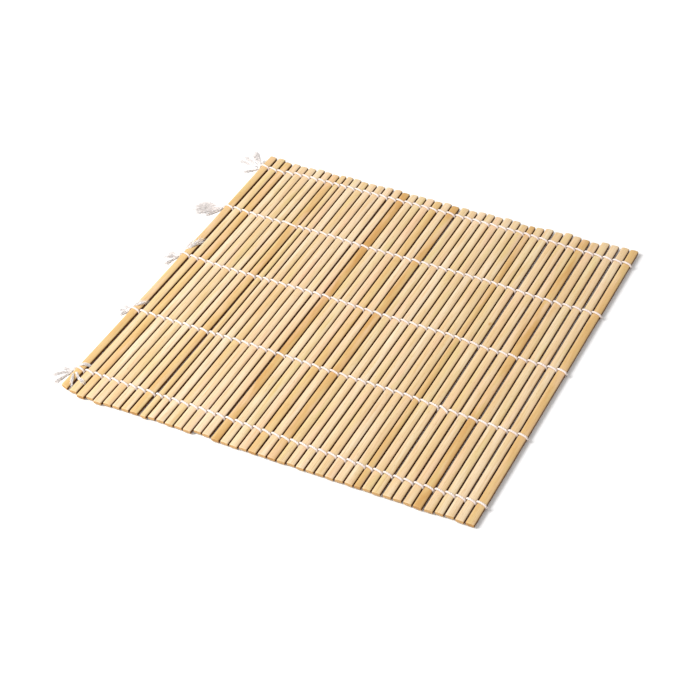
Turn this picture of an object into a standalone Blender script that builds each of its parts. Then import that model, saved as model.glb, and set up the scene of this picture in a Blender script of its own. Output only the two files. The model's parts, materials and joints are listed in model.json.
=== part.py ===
"""A sushi rolling mat: half-round bamboo sticks, laid side by side and twined together by doubled
cotton strings. Each string turns round the last stick, is knotted beside the first one and ends
there in a frayed tuft. Lengths are in millimetres until SCALE makes them metres. X runs along the
strings, Y along the sticks towards their far ends, and the strings' undersides lie on z = 0."""

import math
import random
from collections import namedtuple

import bmesh
import bpy
from mathutils import Vector

SCALE = 0.001

# The sticks: split bamboo, planed flat below and rounded above, sawn to uneven lengths
STICK_COUNT = 44
STICK_WIDTH = 4.4
STICK_THICK = 2.0
STICK_FAR = 119.2
STICK_NEAR = -119.6
GAP = 1.1
CORNER = 0.3
END_EASE = 0.35
ARCH_STEPS = 7

# How far the mat is pushed askew: the far ends stand this much to the right of the near ones
FAR_ENDS_RIGHT = -0.8

# Small unevenness of the sticks that no table row names
WIDTH_SPREAD = 0.07
GAP_SPREAD = 0.06
FAR_SPREAD = 0.45
NEAR_SPREAD = 0.25
SEED = 44

# The strings: soft cotton, pressed flat, with the parts a little apart
STRING_WIDE = 1.0
STRING_NARROW = 0.6
STRING_THIN = 0.5
CLEAR = 0.3
ROW_COUNT = 5

# Heights. A strand that bends over a stick's edge is a little higher than one that runs straight
BEND_SPARE = 0.05
UNDER_Z = STRING_THIN / 2
STICK_Z = STRING_THIN + CLEAR
STICK_TOP = STICK_Z + STICK_THICK
CROWN_Z = STICK_TOP + CLEAR + STRING_THIN / 2 + BEND_SPARE
SHOULDER_Z = STICK_TOP + BEND_SPARE

# Where the strands pass between two sticks: half their distance apart, and how far from the middle
# of the gap they bend, above and below
STRANDS_APART = 0.65
SHOULDER_OUT = 0.55
UNDER_OUT = 0.3

# Where a string slips over two sticks, its crown drifts sideways by this share of the slant
SLIP_DRIFT = 1 / 3

# The turn round the last stick: how high it passes, as a share of the stick, and in how many steps
TURN_HIGH = 0.55
TURN_STEPS = 3

# Knots and tufts
KNOT_RADIUS = 1.15
KNOT_SQUASH = (1.0, 1.3, 0.85)
KNOT_Z = 1.55
KNOT_SPARE = 0.1
LOCK_WIDE = 0.8
LOCK_THIN = 0.45
LOCK_POINTS = 5
LOCK_TIP = 0.5
LOCK_BESIDE = 0.7

BAMBOO = (0.72, 0.52, 0.29, 1.0)
GOLDEN_BAMBOO = (0.62, 0.38, 0.14, 1.0)
COTTON = (0.86, 0.80, 0.75, 1.0)

# Sticks that stand out: their width, the gap after them at the far and the near end, and how much
# further than the rest they reach at either end
Oddity = namedtuple("Oddity", "stick width gap_far gap_near more_far more_near golden")
ODDITIES = [
    Oddity(1, 4.4, 1.6, 2.0, 1.5, -2.4, True),
    Oddity(2, 4.4, 1.4, 1.2, 1.6, -1.0, False),
    Oddity(3, 4.4, 1.5, 1.1, -0.6, 0.8, True),
    Oddity(5, 4.5, 1.1, 1.1, -0.5, 1.1, False),
    Oddity(7, 4.2, 1.3, 1.3, 1.1, 0.0, False),
    Oddity(8, 4.2, 1.1, 1.3, 0.2, -0.2, False),
    Oddity(9, 4.4, 1.05, 2.1, -0.4, -0.2, True),
    Oddity(10, 3.2, 1.1, 1.3, 0.7, 0.3, False),
    Oddity(11, 3.7, 1.1, 1.3, 1.0, -0.5, False),
    Oddity(12, 4.3, 1.1, 1.2, 0.8, -0.5, False),
    Oddity(16, 4.3, 1.6, 1.05, 0.8, -1.5, False),
    Oddity(17, 4.3, 1.2, 1.7, 0.7, -1.2, False),
    Oddity(18, 4.4, 1.05, 1.1, -0.5, 0.0, True),
    Oddity(22, 4.4, 1.3, 1.2, -0.7, 0.0, True),
    Oddity(24, 4.5, 1.8, 1.1, -0.9, 0.0, True),
    Oddity(26, 4.4, 1.1, 1.1, -1.0, -0.4, False),
    Oddity(30, 4.4, 1.1, 1.1, 0.7, 0.1, False),
    Oddity(32, 4.4, 1.05, 1.1, -1.5, 0.0, False),
    Oddity(33, 3.2, 1.05, 1.2, -0.9, 0.0, True),
    Oddity(35, 4.4, 1.8, 1.5, 0.7, 0.1, False),
    Oddity(37, 4.4, 1.4, 1.3, 1.5, -0.2, False),
    Oddity(39, 4.4, 1.5, 1.6, -0.5, 0.3, True),
    Oddity(40, 4.4, 1.2, 1.1, -1.1, 0.1, False),
    Oddity(41, 4.4, 1.4, 1.1, 1.5, -0.4, False),
    Oddity(42, 4.4, 1.8, 1.2, 1.2, -0.7, False),
    Oddity(43, 4.4, 1.1, 1.1, 1.5, 0.0, False),
    Oddity(44, 4.4, 1.1, 1.1, 1.4, 0.0, True),
]

# How each string wanders: its Y where it crosses the stick
Waypoint = namedtuple("Waypoint", "row stick y")
WAYPOINTS = [
    Waypoint(1, 1, 109.0),
    Waypoint(1, 3, 107.6),
    Waypoint(1, 5, 109.3),
    Waypoint(1, 22, 109.8),
    Waypoint(1, 33, 109.2),
    Waypoint(1, 39, 107.2),
    Waypoint(1, 44, 106.4),
    Waypoint(2, 1, 62.6),
    Waypoint(2, 5, 61.2),
    Waypoint(2, 14, 60.9),
    Waypoint(2, 18, 59.4),
    Waypoint(2, 32, 59.0),
    Waypoint(2, 39, 56.5),
    Waypoint(2, 44, 56.7),
    Waypoint(3, 1, 10.3),
    Waypoint(3, 6, 8.4),
    Waypoint(3, 18, 8.8),
    Waypoint(3, 23, 7.1),
    Waypoint(3, 32, 6.6),
    Waypoint(3, 36, 4.5),
    Waypoint(3, 44, 3.7),
    Waypoint(4, 1, -45.8),
    Waypoint(4, 15, -45.9),
    Waypoint(4, 23, -47.4),
    Waypoint(4, 32, -48.0),
    Waypoint(4, 36, -49.7),
    Waypoint(4, 44, -51.6),
    Waypoint(5, 1, -101.9),
    Waypoint(5, 15, -102.6),
    Waypoint(5, 28, -104.7),
    Waypoint(5, 36, -105.9),
    Waypoint(5, 44, -105.0),
]

# Where a string slipped and runs over two sticks at once: the row and the second stick
SLIPS = [(2, 9)]

# The locks of each tuft: heading in degrees from +X, how far they reach, how much they bend on the
# way, their width against the usual one, and whether they lie on the floor or over the sticks
Lock = namedtuple("Lock", "row heading reach bend width over")
LOCKS = [
    Lock(1, 121, 17.0, 7, 0.8, False),
    Lock(1, 136, 14.0, -2, 0.9, False),
    Lock(1, 152, 16.0, 4, 1.0, False),
    Lock(1, 168, 15.0, 6, 1.1, False),
    Lock(1, 106, 8.0, -8, 0.8, False),
    Lock(1, 240, 10.5, -16, 0.9, False),
    Lock(2, 181, 13.5, -6, 1.3, False),
    Lock(2, 190, 16.0, 0, 1.4, False),
    Lock(2, 200, 17.5, 3, 1.4, False),
    Lock(2, 212, 17.0, 1, 1.3, False),
    Lock(2, 225, 15.5, -3, 1.1, False),
    Lock(2, 246, 12.0, -8, 0.8, False),
    Lock(3, 66, 15.5, 4, 1.8, True),
    Lock(3, 79, 14.0, 8, 1.8, True),
    Lock(3, 182, 8.0, -8, 1.1, False),
    Lock(3, 205, 8.5, 4, 1.2, False),
    Lock(3, 240, 10.5, 10, 1.0, False),
    Lock(4, 58, 8.0, -6, 1.7, True),
    Lock(4, 78, 7.0, 10, 1.6, True),
    Lock(4, 160, 5.5, -8, 1.1, False),
    Lock(4, 190, 6.0, 4, 1.1, False),
    Lock(4, 228, 5.5, 8, 0.9, False),
    Lock(5, 303, 14.5, -8, 1.2, True),
    Lock(5, 318, 13.0, 6, 1.0, True),
    Lock(5, 50, 7.5, -18, 1.1, True),
    Lock(5, 192, 7.0, -6, 1.0, False),
    Lock(5, 218, 11.0, 4, 1.1, False),
    Lock(5, 246, 13.0, 6, 0.9, False),
]

Stick = namedtuple("Stick", "number width far_x near_x far_y near_y golden")
Point = namedtuple("Point", "x y z outer")
UP = (0.0, 1.0)
DOWN = (0.0, -1.0)
RIGHT = (1.0, 0.0)
SECTION_CORNERS = ((1, 1), (1, -1), (-1, -1), (-1, 1))


def clear_scene():
    for obj in list(bpy.data.objects):
        bpy.data.objects.remove(obj, do_unlink=True)


def new_collection(name):
    collection = bpy.data.collections.new(name)
    bpy.context.scene.collection.children.link(collection)
    return collection


def new_material(name, color, roughness):
    material = bpy.data.materials.new(name)
    material.use_nodes = True
    shader = material.node_tree.nodes["Principled BSDF"]
    shader.inputs["Base Color"].default_value = color
    shader.inputs["Roughness"].default_value = roughness
    shader.inputs["Metallic"].default_value = 0.0
    return material


def new_object(name, data, collection, material):
    obj = bpy.data.objects.new(name, data)
    collection.objects.link(obj)
    data.materials.append(material)
    return obj


def lay_out_sticks():
    """Sizes and places of all sticks. They are laid from left to right, once along their far ends
    and once along their near ends, so that they lean as the gaps between them ask."""
    spread = random.Random(SEED)
    named = {oddity.stick: oddity for oddity in ODDITIES}
    sticks = []
    far_edge = near_edge = 0.0
    for number in range(1, STICK_COUNT + 1):
        plain = Oddity(
            number,
            STICK_WIDTH + spread.uniform(-WIDTH_SPREAD, WIDTH_SPREAD),
            GAP + spread.uniform(-GAP_SPREAD, GAP_SPREAD),
            GAP + spread.uniform(-GAP_SPREAD, GAP_SPREAD),
            spread.uniform(-FAR_SPREAD, FAR_SPREAD),
            spread.uniform(-NEAR_SPREAD, NEAR_SPREAD),
            False,
        )
        it = named.get(number, plain)
        sticks.append(
            Stick(
                number,
                it.width,
                far_edge + it.width / 2,
                near_edge + it.width / 2,
                STICK_FAR + it.more_far,
                STICK_NEAR - it.more_near,
                it.golden,
            )
        )
        far_edge += it.width + it.gap_far
        near_edge += it.width + it.gap_near
    far_middle = (far_edge - it.gap_far) / 2 - FAR_ENDS_RIGHT
    near_middle = (near_edge - it.gap_near) / 2
    return [
        stick._replace(far_x=stick.far_x - far_middle, near_x=stick.near_x - near_middle)
        for stick in sticks
    ]


def stick_x(stick, y):
    """The stick's middle line at y."""
    part = (y - STICK_NEAR) / (STICK_FAR - STICK_NEAR)
    return stick.near_x + (stick.far_x - stick.near_x) * part


def stick_outline(width):
    """A half-round section: a flat underside with small corners, and an arch over it."""
    half = width / 2
    flat = half - CORNER
    outline = [(-flat, 0.0), (flat, 0.0)]
    for step in range(ARCH_STEPS + 1):
        turn = math.pi * step / ARCH_STEPS
        rise = CORNER + (STICK_THICK - CORNER) * math.sin(turn)
        outline.append((half * math.cos(turn), rise))
    return outline


def make_stick(stick, collection, material):
    """The section extruded along the stick, with its sawn ends eased by the curve's bevel."""
    curve = bpy.data.curves.new(f"stick_{stick.number:02d}", "CURVE")
    curve.dimensions = "2D"
    curve.fill_mode = "BOTH"
    length = stick.far_y - stick.near_y
    curve.extrude = (length / 2 - END_EASE) * SCALE
    curve.bevel_depth = END_EASE * SCALE
    curve.offset = -END_EASE * SCALE
    curve.bevel_resolution = 0
    outline = stick_outline(stick.width)
    spline = curve.splines.new("POLY")
    spline.points.add(len(outline) - 1)
    spline.use_cyclic_u = True
    for point, (x, z) in zip(spline.points, outline):
        point.co = (x * SCALE, z * SCALE, 0.0, 1.0)
    obj = new_object(curve.name, curve, collection, material)
    middle_y = (stick.far_y + stick.near_y) / 2
    lean = math.atan2(stick.near_x - stick.far_x, STICK_FAR - STICK_NEAR)
    obj.location = Vector((stick_x(stick, middle_y), middle_y, STICK_Z)) * SCALE
    obj.rotation_euler = (math.pi / 2, 0.0, lean)
    return obj


def row_y(row, x, sticks):
    """The string's middle line, straight from waypoint to waypoint."""
    stops = [(stick_x(sticks[w.stick - 1], w.y), w.y) for w in WAYPOINTS if w.row == row]
    for (x0, y0), (x1, y1) in zip(stops, stops[1:]):
        if x <= x1:
            break
    return y0 + (y1 - y0) * (x - x0) / (x1 - x0)


def gap_middle(sticks, index, y):
    """X of the middle of the gap after the stick, and the same past the first and the last one."""
    passing = CLEAR + STRING_THIN / 2
    if index < 0:
        return stick_x(sticks[0], y) - sticks[0].width / 2 - passing
    if index == len(sticks) - 1:
        return stick_x(sticks[-1], y) + sticks[-1].width / 2 + passing
    left, right = sticks[index], sticks[index + 1]
    left_edge = stick_x(left, y) + left.width / 2
    right_edge = stick_x(right, y) - right.width / 2
    return (left_edge + right_edge) / 2


def strand(row, over, sticks):
    """One strand from left to right, over a stick and under the next, and on which side it ends.
    Over a stick it slants towards -Y and under it towards +Y, so that the two strands twine."""
    points = []
    for index, stick in enumerate(sticks):
        y = row_y(row, stick_x(stick, row_y(row, 0.0, sticks)), sticks)
        left = gap_middle(sticks, index - 1, y)
        right = gap_middle(sticks, index, y)
        slipped_here = (row, stick.number) in SLIPS
        slips_next = (row, stick.number + 1) in SLIPS
        slant = STRANDS_APART if over else -STRANDS_APART
        bend, height, outer = (
            (SHOULDER_OUT, SHOULDER_Z, UP) if over else (UNDER_OUT, UNDER_Z, DOWN)
        )
        if not slipped_here:
            points.append(Point(left + bend, y + slant, height, outer))
        if over:
            drift = slant * SLIP_DRIFT * (slips_next - slipped_here)
            points.append(Point(stick_x(stick, y), y + drift, CROWN_Z, UP))
        if not slips_next:
            points.append(Point(right - bend, y - slant, height, outer))
            over = not over
    return points, not over


def end_at_knot(point, knot):
    """The strand's end: in line with the knot's middle and a little short of its surface."""
    start = Vector(point[:3])
    way = (start - knot).normalized()
    stop = knot + way * (KNOT_RADIUS + CLEAR + KNOT_SPARE)
    return Point(*stop, point.outer)


def string_path(row, sticks, knot):
    """Out along one strand, round the last stick, and back along the other."""
    out, ends_over = strand(row, True, sticks)
    back, _ = strand(row, False, sticks)
    outside = gap_middle(sticks, len(sticks) - 1, out[-1].y)
    heights = (STICK_Z + STICK_THICK * TURN_HIGH, STICK_Z + CORNER)
    if not ends_over:
        heights = heights[::-1]
    step = (back[-1].y - out[-1].y) / TURN_STEPS
    turn = [
        Point(outside, out[-1].y + step * (number + 1), height, RIGHT)
        for number, height in enumerate(heights)
    ]
    first = end_at_knot(out[0], knot)
    last = end_at_knot(back[0], knot)
    return [first] + out + turn + back[::-1] + [last]


def loft(name, rings):
    """A closed tube through rings of corners, all with as many corners, with flat ends."""
    sides = len(rings[0])
    points = [Vector(corner) * SCALE for ring in rings for corner in ring]
    faces = [tuple(range(sides)), tuple(range(len(points) - sides, len(points)))]
    for first in range(0, len(points) - sides, sides):
        for k in range(sides):
            n = (k + 1) % sides
            faces.append((first + k, first + n, first + sides + n, first + sides + k))
    mesh = bpy.data.meshes.new(name)
    mesh.from_pydata(points, [], faces)
    shape = bmesh.new()
    shape.from_mesh(mesh)
    bmesh.ops.recalc_face_normals(shape, faces=shape.faces)
    shape.to_mesh(mesh)
    shape.free()
    return mesh


def string_rings(path):
    """Sections mitred in the XZ plane, so that the runs below the sticks lie flat on z = 0. A
    section is narrower on the side away from the sticks."""
    normals = []
    for here, there in zip(path, path[1:]):
        run = Vector((there.x - here.x, there.z - here.z)).normalized()
        normals.append(Vector((-run.y, run.x)))
    rings = []
    for number, place in enumerate(path):
        before = normals[max(number - 1, 0)]
        after = normals[min(number, len(normals) - 1)]
        mitre = (before + after) / (1 + before.dot(after)) * STRING_THIN / 2
        ring = []
        for side, across in SECTION_CORNERS:
            faces_out = side * mitre.dot(Vector(place.outer)) > 0
            wide = STRING_NARROW if faces_out else STRING_WIDE
            ring.append(
                (
                    place.x + side * mitre.x,
                    place.y + across * wide / 2,
                    place.z + side * mitre.y,
                )
            )
        rings.append(ring)
    return rings


def lock_rings(lock, knot):
    """From inside the knot outwards, then level on the floor or over the sticks, and thinner
    towards the tip. A lock over the sticks leaves the knot beside the string."""
    rest = STICK_TOP + CLEAR if lock.over else 0.0
    beside = math.copysign(LOCK_BESIDE, math.sin(math.radians(lock.heading))) if lock.over else 0.0
    rings = []
    for number in range(LOCK_POINTS):
        part = number / (LOCK_POINTS - 1)
        thin = LOCK_THIN * (1 - (1 - LOCK_TIP) * part)
        wide = LOCK_WIDE * lock.width * (1 - (1 - LOCK_TIP) * part)
        heading = math.radians(lock.heading + lock.bend * part)
        along = Vector((math.cos(heading), math.sin(heading), 0.0))
        across = Vector((-along.y, along.x, 0.0))
        middle = Vector((knot.x, knot.y + beside, 0.0)) + along * lock.reach * part
        middle.z = knot.z if number == 0 else rest + thin / 2
        rings.append(
            [
                middle + across * side * wide / 2 + Vector((0.0, 0.0, up * thin / 2))
                for side, up in SECTION_CORNERS
            ]
        )
    return rings


def make_tuft(row, knot, collection, material):
    """The knot, a squashed ball, with the locks of its tuft joined to it."""
    bpy.ops.mesh.primitive_ico_sphere_add(subdivisions=2, radius=KNOT_RADIUS * SCALE)
    ball = bpy.context.active_object
    mesh = ball.data
    bpy.data.objects.remove(ball, do_unlink=True)
    for vertex in mesh.vertices:
        vertex.co = vertex.co * Vector(KNOT_SQUASH) + knot * SCALE
    mesh.name = f"tuft_{row}"
    tuft = new_object(mesh.name, mesh, collection, material)
    locks = new_collection(f"locks_{row}")
    pieces = []
    for number, lock in enumerate(lock for lock in LOCKS if lock.row == row):
        strand_mesh = loft(f"lock_{row}_{number + 1}", lock_rings(lock, knot))
        piece = new_object(strand_mesh.name, strand_mesh, locks, material)
        piece.hide_render = True
        piece.display_type = "WIRE"
        pieces.append(piece)
    join = tuft.modifiers.new("join locks", "BOOLEAN")
    join.operation = "UNION"
    join.operand_type = "COLLECTION"
    join.collection = locks
    return tuft, pieces


def stand_on_origin(parts, locks):
    """Carries everything on an empty that puts the middle of the box's underside at the origin."""
    bpy.context.view_layer.update()
    graph = bpy.context.evaluated_depsgraph_get()
    points = []
    for part in parts:
        evaluated = part.evaluated_get(graph)
        points += [evaluated.matrix_world @ vertex.co for vertex in evaluated.to_mesh().vertices]
        evaluated.to_mesh_clear()
    low = Vector([min(point[k] for point in points) for k in range(3)])
    high = Vector([max(point[k] for point in points) for k in range(3)])
    carrier = bpy.data.objects.new("rolling_mat", None)
    parts[0].users_collection[0].objects.link(carrier)
    carrier.location = (-(low.x + high.x) / 2, -(low.y + high.y) / 2, -low.z)
    for obj in parts + locks:
        obj.parent = carrier


def main():
    clear_scene()
    collection = new_collection("sushi_rolling_mat")
    bamboo = new_material("bamboo", BAMBOO, 0.45)
    golden = new_material("golden_bamboo", GOLDEN_BAMBOO, 0.4)
    cotton = new_material("cotton", COTTON, 0.9)
    sticks = lay_out_sticks()
    parts = [
        make_stick(stick, collection, golden if stick.golden else bamboo) for stick in sticks
    ]
    locks = []
    for row in range(1, ROW_COUNT + 1):
        y = row_y(row, sticks[0].far_x, sticks)
        edge = stick_x(sticks[0], y) - sticks[0].width / 2
        knot = Vector((edge - CLEAR - KNOT_RADIUS, y, KNOT_Z))
        mesh = loft(f"string_{row}", string_rings(string_path(row, sticks, knot)))
        parts.append(new_object(mesh.name, mesh, collection, cotton))
        tuft, pieces = make_tuft(row, knot, collection, cotton)
        parts.append(tuft)
        locks += pieces
    stand_on_origin(parts, locks)


main()
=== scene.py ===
# %% [markdown]
# # A sushi rolling mat, lying flat
#
# The mat is 44 half-round bamboo sticks, twined together by five rows of cotton string. The packed
# CAD model says where each stick and string lies. This lesson dresses it: sticks with grain and
# sawn ends, string that is really plied and twined, knots, and tufts of frayed fibres.
#
# The first cell loads the CAD model as a fixed frame. All lengths in the frame are metres.

# %% Load the frame
import json
import math
import random
from collections import namedtuple

import bpy
from mathutils import Matrix, Vector


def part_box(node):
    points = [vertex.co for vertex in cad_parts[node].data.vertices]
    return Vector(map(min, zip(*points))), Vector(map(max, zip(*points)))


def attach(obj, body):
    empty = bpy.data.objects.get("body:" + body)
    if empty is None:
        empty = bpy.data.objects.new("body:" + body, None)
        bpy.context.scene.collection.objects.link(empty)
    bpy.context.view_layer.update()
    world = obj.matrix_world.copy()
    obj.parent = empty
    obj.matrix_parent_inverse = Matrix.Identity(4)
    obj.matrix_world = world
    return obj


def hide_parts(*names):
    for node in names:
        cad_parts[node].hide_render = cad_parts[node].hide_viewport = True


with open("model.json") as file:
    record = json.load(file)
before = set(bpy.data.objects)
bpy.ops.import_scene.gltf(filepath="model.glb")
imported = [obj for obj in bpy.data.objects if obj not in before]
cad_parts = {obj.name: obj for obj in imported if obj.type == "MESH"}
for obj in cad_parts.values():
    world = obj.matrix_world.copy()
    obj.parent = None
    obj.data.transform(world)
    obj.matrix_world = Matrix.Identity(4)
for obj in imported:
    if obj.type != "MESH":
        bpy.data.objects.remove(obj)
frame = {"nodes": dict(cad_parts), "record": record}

bpy.context.view_layer.update()

MM = 0.001

# %% [markdown]
# ## Three small helpers
#
# Colours are given in sRGB. Blender's shaders count in linear light, so one function
# converts them. Node trees are built one node at a time: `add` makes a node, sets what it is asked
# to set, and feeds each input with a plain value, a socket or another node. A tree with named sizes
# is like a recipe: the same tree makes every stick, or every string.


# %% Colours and nodes
def linear(hex_colour):
    """An sRGB hex colour as linear light, with full alpha."""
    channels = [int(hex_colour[k : k + 2], 16) / 255 for k in (1, 3, 5)]
    return tuple(c / 12.92 if c <= 0.04045 else ((c + 0.055) / 1.055) ** 2.4 for c in channels) + (1.0,)


def add(tree, kind, inputs=(), **settings):
    """Adds a node. An input is named, or numbered where several share a name, and takes a value, a
    socket, or a node whose first live output is meant."""
    node = tree.nodes.new(kind)
    for name, value in settings.items():
        setattr(node, name, value)
    for key, value in dict(inputs).items():
        if isinstance(key, str):
            socket = next(s for s in node.inputs if s.enabled and s.name == key)
        else:
            socket = node.inputs[key]
        if isinstance(value, bpy.types.Node):
            value = next(s for s in value.outputs if s.enabled)
        if isinstance(value, bpy.types.NodeSocket):
            tree.links.new(value, socket)
        else:
            socket.default_value = value
    return node


SOCKETS = {float: "NodeSocketFloat", int: "NodeSocketInt"}


def new_tree(name, sizes):
    """A Geometry Nodes tree with an input for each named size, and the sockets that give them."""
    tree = bpy.data.node_groups.new(name, "GeometryNodeTree")
    tree.interface.new_socket("Guides", in_out="INPUT", socket_type="NodeSocketGeometry")
    for label, value in sizes.items():
        socket = tree.interface.new_socket(label, in_out="INPUT", socket_type=SOCKETS[type(value)])
        socket.default_value = value
    tree.interface.new_socket("Material", in_out="INPUT", socket_type="NodeSocketMaterial")
    tree.interface.new_socket("Piece", in_out="OUTPUT", socket_type="NodeSocketGeometry")
    return tree, add(tree, "NodeGroupInput").outputs


# %% [markdown]
# ## From a tree to a plain mesh
#
# A tree works on an object, here a set of guide lines that carry numbers such as a stick's width.
# The inputs of the modifier are set by identifier before Blender works it out the first time. Then
# the result is copied into a plain mesh, and guide and modifier are thrown away, because the parts
# library keeps meshes.


# %% Guides and pieces
def guide_mesh(name, lines, numbers):
    """Lines of points as a mesh of edges. numbers gives each named number for every point."""
    points = [point for line in lines for point in line]
    edges = []
    first = 0
    for line in lines:
        edges += [(k, k + 1) for k in range(first, first + len(line) - 1)]
        first += len(line)
    mesh = bpy.data.meshes.new(name)
    mesh.from_pydata(points, edges, [])
    for label, values in numbers.items():
        mesh.attributes.new(label, "FLOAT", "POINT").data.foreach_set("value", values)
    return mesh


SCAFFOLD = {"middle", "section", "width", "ease", "slant", "skew", "left_shade", "number", "spread"}


def make_piece(name, guides, tree, material, **sizes):
    """Runs a tree on guide lines and returns the result as an object with a plain mesh."""
    guide = bpy.data.objects.new(f"{name}_guides", guides)
    bpy.context.scene.collection.objects.link(guide)
    modifier = guide.modifiers.new("making", "NODES")
    modifier.node_group = tree
    values = {"Material": material, **{label.replace("_", " "): v for label, v in sizes.items()}}
    for item in tree.interface.items_tree:
        if item.in_out == "INPUT" and item.name in values:
            modifier[item.identifier] = values[item.name]
    graph = bpy.context.evaluated_depsgraph_get()
    graph.update()
    mesh = bpy.data.meshes.new_from_object(guide.evaluated_get(graph))
    bpy.data.objects.remove(guide, do_unlink=True)
    for label in [a.name for a in mesh.attributes if a.name in SCAFFOLD]:
        mesh.attributes.remove(mesh.attributes[label])
    mesh.name = name
    piece = bpy.data.objects.new(name, mesh)
    bpy.context.scene.collection.objects.link(piece)
    triangles = sum(len(face.vertices) - 2 for face in mesh.polygons)
    print(f"{name}: {triangles} triangles")
    return piece


# %% [markdown]
# ## Reading the sticks from the frame
#
# Each CAD stick is a node of its own. Its two ends and its width are measured on that node, so
# every dressed stick lies where the solid one does. The solids keep a clear distance from the
# strings; on the real mat the string squeezes in, so the dressed sticks are a little wider. The mat
# has been rolled up often, and its left part has kept a slight bow. The record says which sticks
# are of the golden sort.

# %% Measure the CAD sticks
STICK_COUNT = 44
ROW_COUNT = 5
STICK_THICK = 2.0 * MM
CORNER = 0.3 * MM
END_BAND = 1.0 * MM
WIDER = 0.38 * MM
BOW_LEFT = 0.5 * MM
BOW_RIGHT = 0.1 * MM

Stick = namedtuple("Stick", "number near_x near_y far_x far_y width under")
stick_slot = {part["node"]: part["material_slot"] for part in frame["record"]["subparts"]}


def measure_stick(number):
    points = [v.co for v in frame["nodes"][f"stick_{number:02d}"].data.vertices]
    near_y = min(p.y for p in points)
    far_y = max(p.y for p in points)
    near = [p.x for p in points if p.y < near_y + END_BAND]
    far = [p.x for p in points if p.y > far_y - END_BAND]
    return Stick(
        number,
        (min(near) + max(near)) / 2,
        near_y,
        (min(far) + max(far)) / 2,
        far_y,
        max(far) - min(far) + WIDER,
        min(p.z for p in points),
    )


def stick_x(stick, y):
    """The stick's middle line at y, with its bow: to the right halfway and to the left at the ends."""
    part = (y - stick.near_y) / (stick.far_y - stick.near_y)
    bow = BOW_LEFT + (BOW_RIGHT - BOW_LEFT) * stick.number / STICK_COUNT
    return stick.near_x + (stick.far_x - stick.near_x) * part + bow * (1 / 3 - (2 * part - 1) ** 2)


sticks = [measure_stick(number) for number in range(1, STICK_COUNT + 1)]
print("stick widths in mm:", [round(s.width / MM, 2) for s in sticks])

# %% [markdown]
# ## The bamboo sticks
#
# A stick is split from a cane, planed flat below and drawn through a round cutter above, then cut
# to length with a saw that leaves a square end with broken edges. One could model a single stick
# and array it, but then all would be twins. Here a Geometry Nodes tree sweeps one half-round
# section along 44 guide lines, and each line carries its own width, lean, wander and saw cut.
#
# The section is flat below. Its flanks are steep and its top is a low arch: the sine of an ellipse's
# height is raised to a power well under one, which fills out the shoulders.

# %% The tree that sweeps the sticks
FULLNESS = 0.24

sticks_tree, size = new_tree(
    "half_round_sticks",
    {
        "Thickness": STICK_THICK,
        "Corner": CORNER,
        "Fullness": FULLNESS,
        "Section Points": 36,
        "Wander": 0.1 * MM,
        "Wander Length": 90 * MM,
        "Sharp Angle": math.radians(38),
        "Seed": 3,
    },
)
line = add(sticks_tree, "GeometryNodeMeshToCurve", {"Mesh": size["Guides"]})
stick_number = add(
    sticks_tree, "GeometryNodeInputNamedAttribute", {"Name": "number"}, data_type="FLOAT"
)
place = add(sticks_tree, "ShaderNodeSeparateXYZ", {0: add(sticks_tree, "GeometryNodeInputPosition")})
along = add(
    sticks_tree, "ShaderNodeMath", {0: place.outputs["Y"], 1: size["Wander Length"]}, operation="DIVIDE"
)
own_noise = add(
    sticks_tree, "ShaderNodeMath", {0: stick_number, 1: 7.31, 2: size["Seed"]}, operation="MULTIPLY_ADD"
)
noise_at = add(sticks_tree, "ShaderNodeCombineXYZ", {"X": own_noise, "Y": along})
noise = add(
    sticks_tree,
    "ShaderNodeTexNoise",
    {"Vector": noise_at, "Scale": 1.0, "Detail": 1.0},
    noise_dimensions="2D",
)
centred = add(sticks_tree, "ShaderNodeMath", {0: noise, 1: 0.5}, operation="SUBTRACT")
sideways = add(sticks_tree, "ShaderNodeMath", {0: centred, 1: size["Wander"]}, operation="MULTIPLY")
doubled = add(sticks_tree, "ShaderNodeMath", {0: sideways, 1: 2.0}, operation="MULTIPLY")
bowed = add(
    sticks_tree,
    "GeometryNodeSetPosition",
    {"Geometry": line, "Offset": add(sticks_tree, "ShaderNodeCombineXYZ", {"X": doubled})},
)
marked = add(
    sticks_tree,
    "GeometryNodeStoreNamedAttribute",
    {"Geometry": bowed, "Name": "middle", "Value": add(sticks_tree, "GeometryNodeInputPosition")},
    data_type="FLOAT_VECTOR",
)

# The section: X from -1 to 1 across, Y the height in metres above the planed underside.
circle = add(
    sticks_tree,
    "GeometryNodeCurvePrimitiveCircle",
    {"Resolution": size["Section Points"], "Radius": 1.0},
)
on_circle = add(
    sticks_tree, "ShaderNodeSeparateXYZ", {0: add(sticks_tree, "GeometryNodeInputPosition")}
)
steep = add(sticks_tree, "ShaderNodeMath", {0: on_circle.outputs["Y"]}, operation="ABSOLUTE")
fuller = add(sticks_tree, "ShaderNodeMath", {0: steep, 1: size["Fullness"]}, operation="POWER")
side = add(sticks_tree, "ShaderNodeMath", {0: on_circle.outputs["Y"]}, operation="SIGN")
rise = add(sticks_tree, "ShaderNodeMath", {0: fuller, 1: side}, operation="MULTIPLY")
crown = add(
    sticks_tree, "ShaderNodeMath", {0: size["Thickness"], 1: size["Corner"]}, operation="SUBTRACT"
)
arch = add(
    sticks_tree, "ShaderNodeMath", {0: rise, 1: crown, 2: size["Corner"]}, operation="MULTIPLY_ADD"
)
planed = add(sticks_tree, "ShaderNodeMath", {0: arch, 1: 0.0}, operation="MAXIMUM")
section = add(
    sticks_tree,
    "GeometryNodeStoreNamedAttribute",
    {
        "Geometry": circle.outputs["Curve"],
        "Name": "section",
        "Value": add(sticks_tree, "ShaderNodeCombineXYZ", {"X": on_circle.outputs["X"], "Y": planed}),
    },
    data_type="FLOAT_VECTOR",
)
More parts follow.
